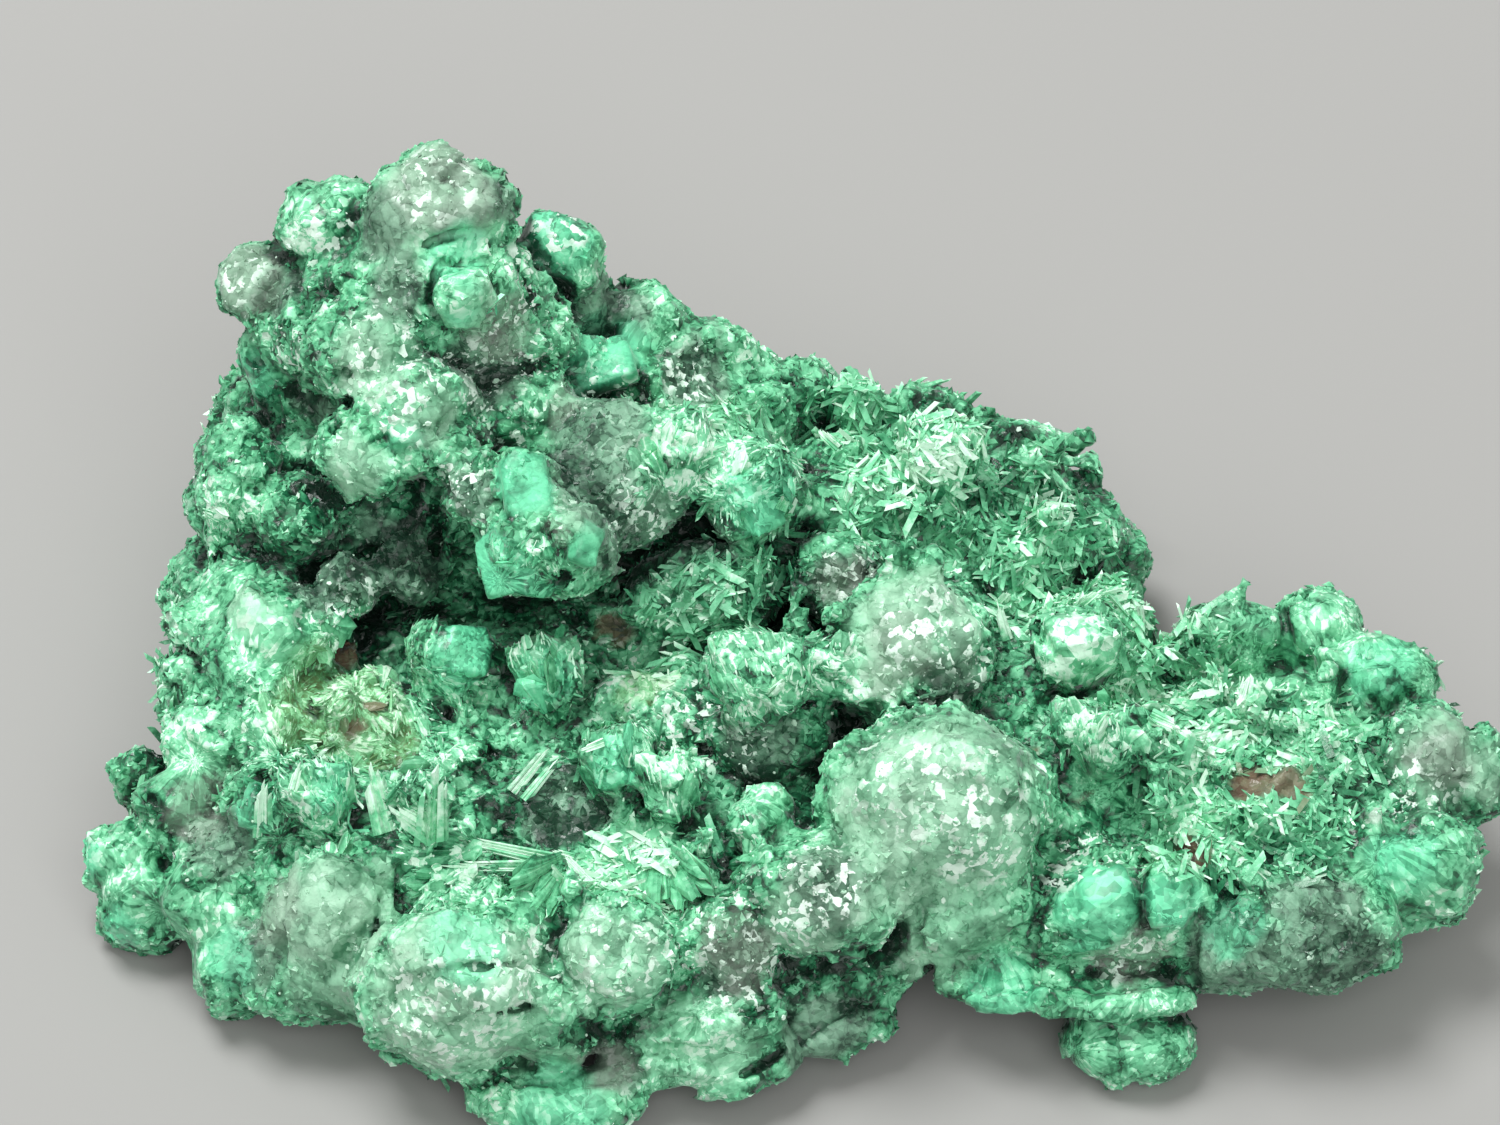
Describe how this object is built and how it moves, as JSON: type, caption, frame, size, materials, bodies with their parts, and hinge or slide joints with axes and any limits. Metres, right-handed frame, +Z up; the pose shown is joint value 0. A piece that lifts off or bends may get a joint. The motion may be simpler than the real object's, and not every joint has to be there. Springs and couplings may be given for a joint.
{
  "type": "fibrous malachite specimen",
  "caption": "Rough mineral specimen: a low crust of round-topped lobes, broken fibre fans and needle beds, with a taller knobbly tower at one corner and a short arm leaning over a hollow.",
  "frame": {"origin": "centre of the specimen's bounding box, on the flat of its broken base", "axes": "+X along the longest side, from the tower towards the wing; +Y from the front edge towards the back; +Z up"},
  "size_m": [0.0562, 0.038, 0.0217],
  "materials": {
    "malachite": "satin to silky green fibrous mineral: pale frosted lobes, bright mint fibre ends, teal broken faces and near-black green creases"
  },
  "bodies": {
    "root": {"malachite": "malachite"}
  },
  "joints": []
}
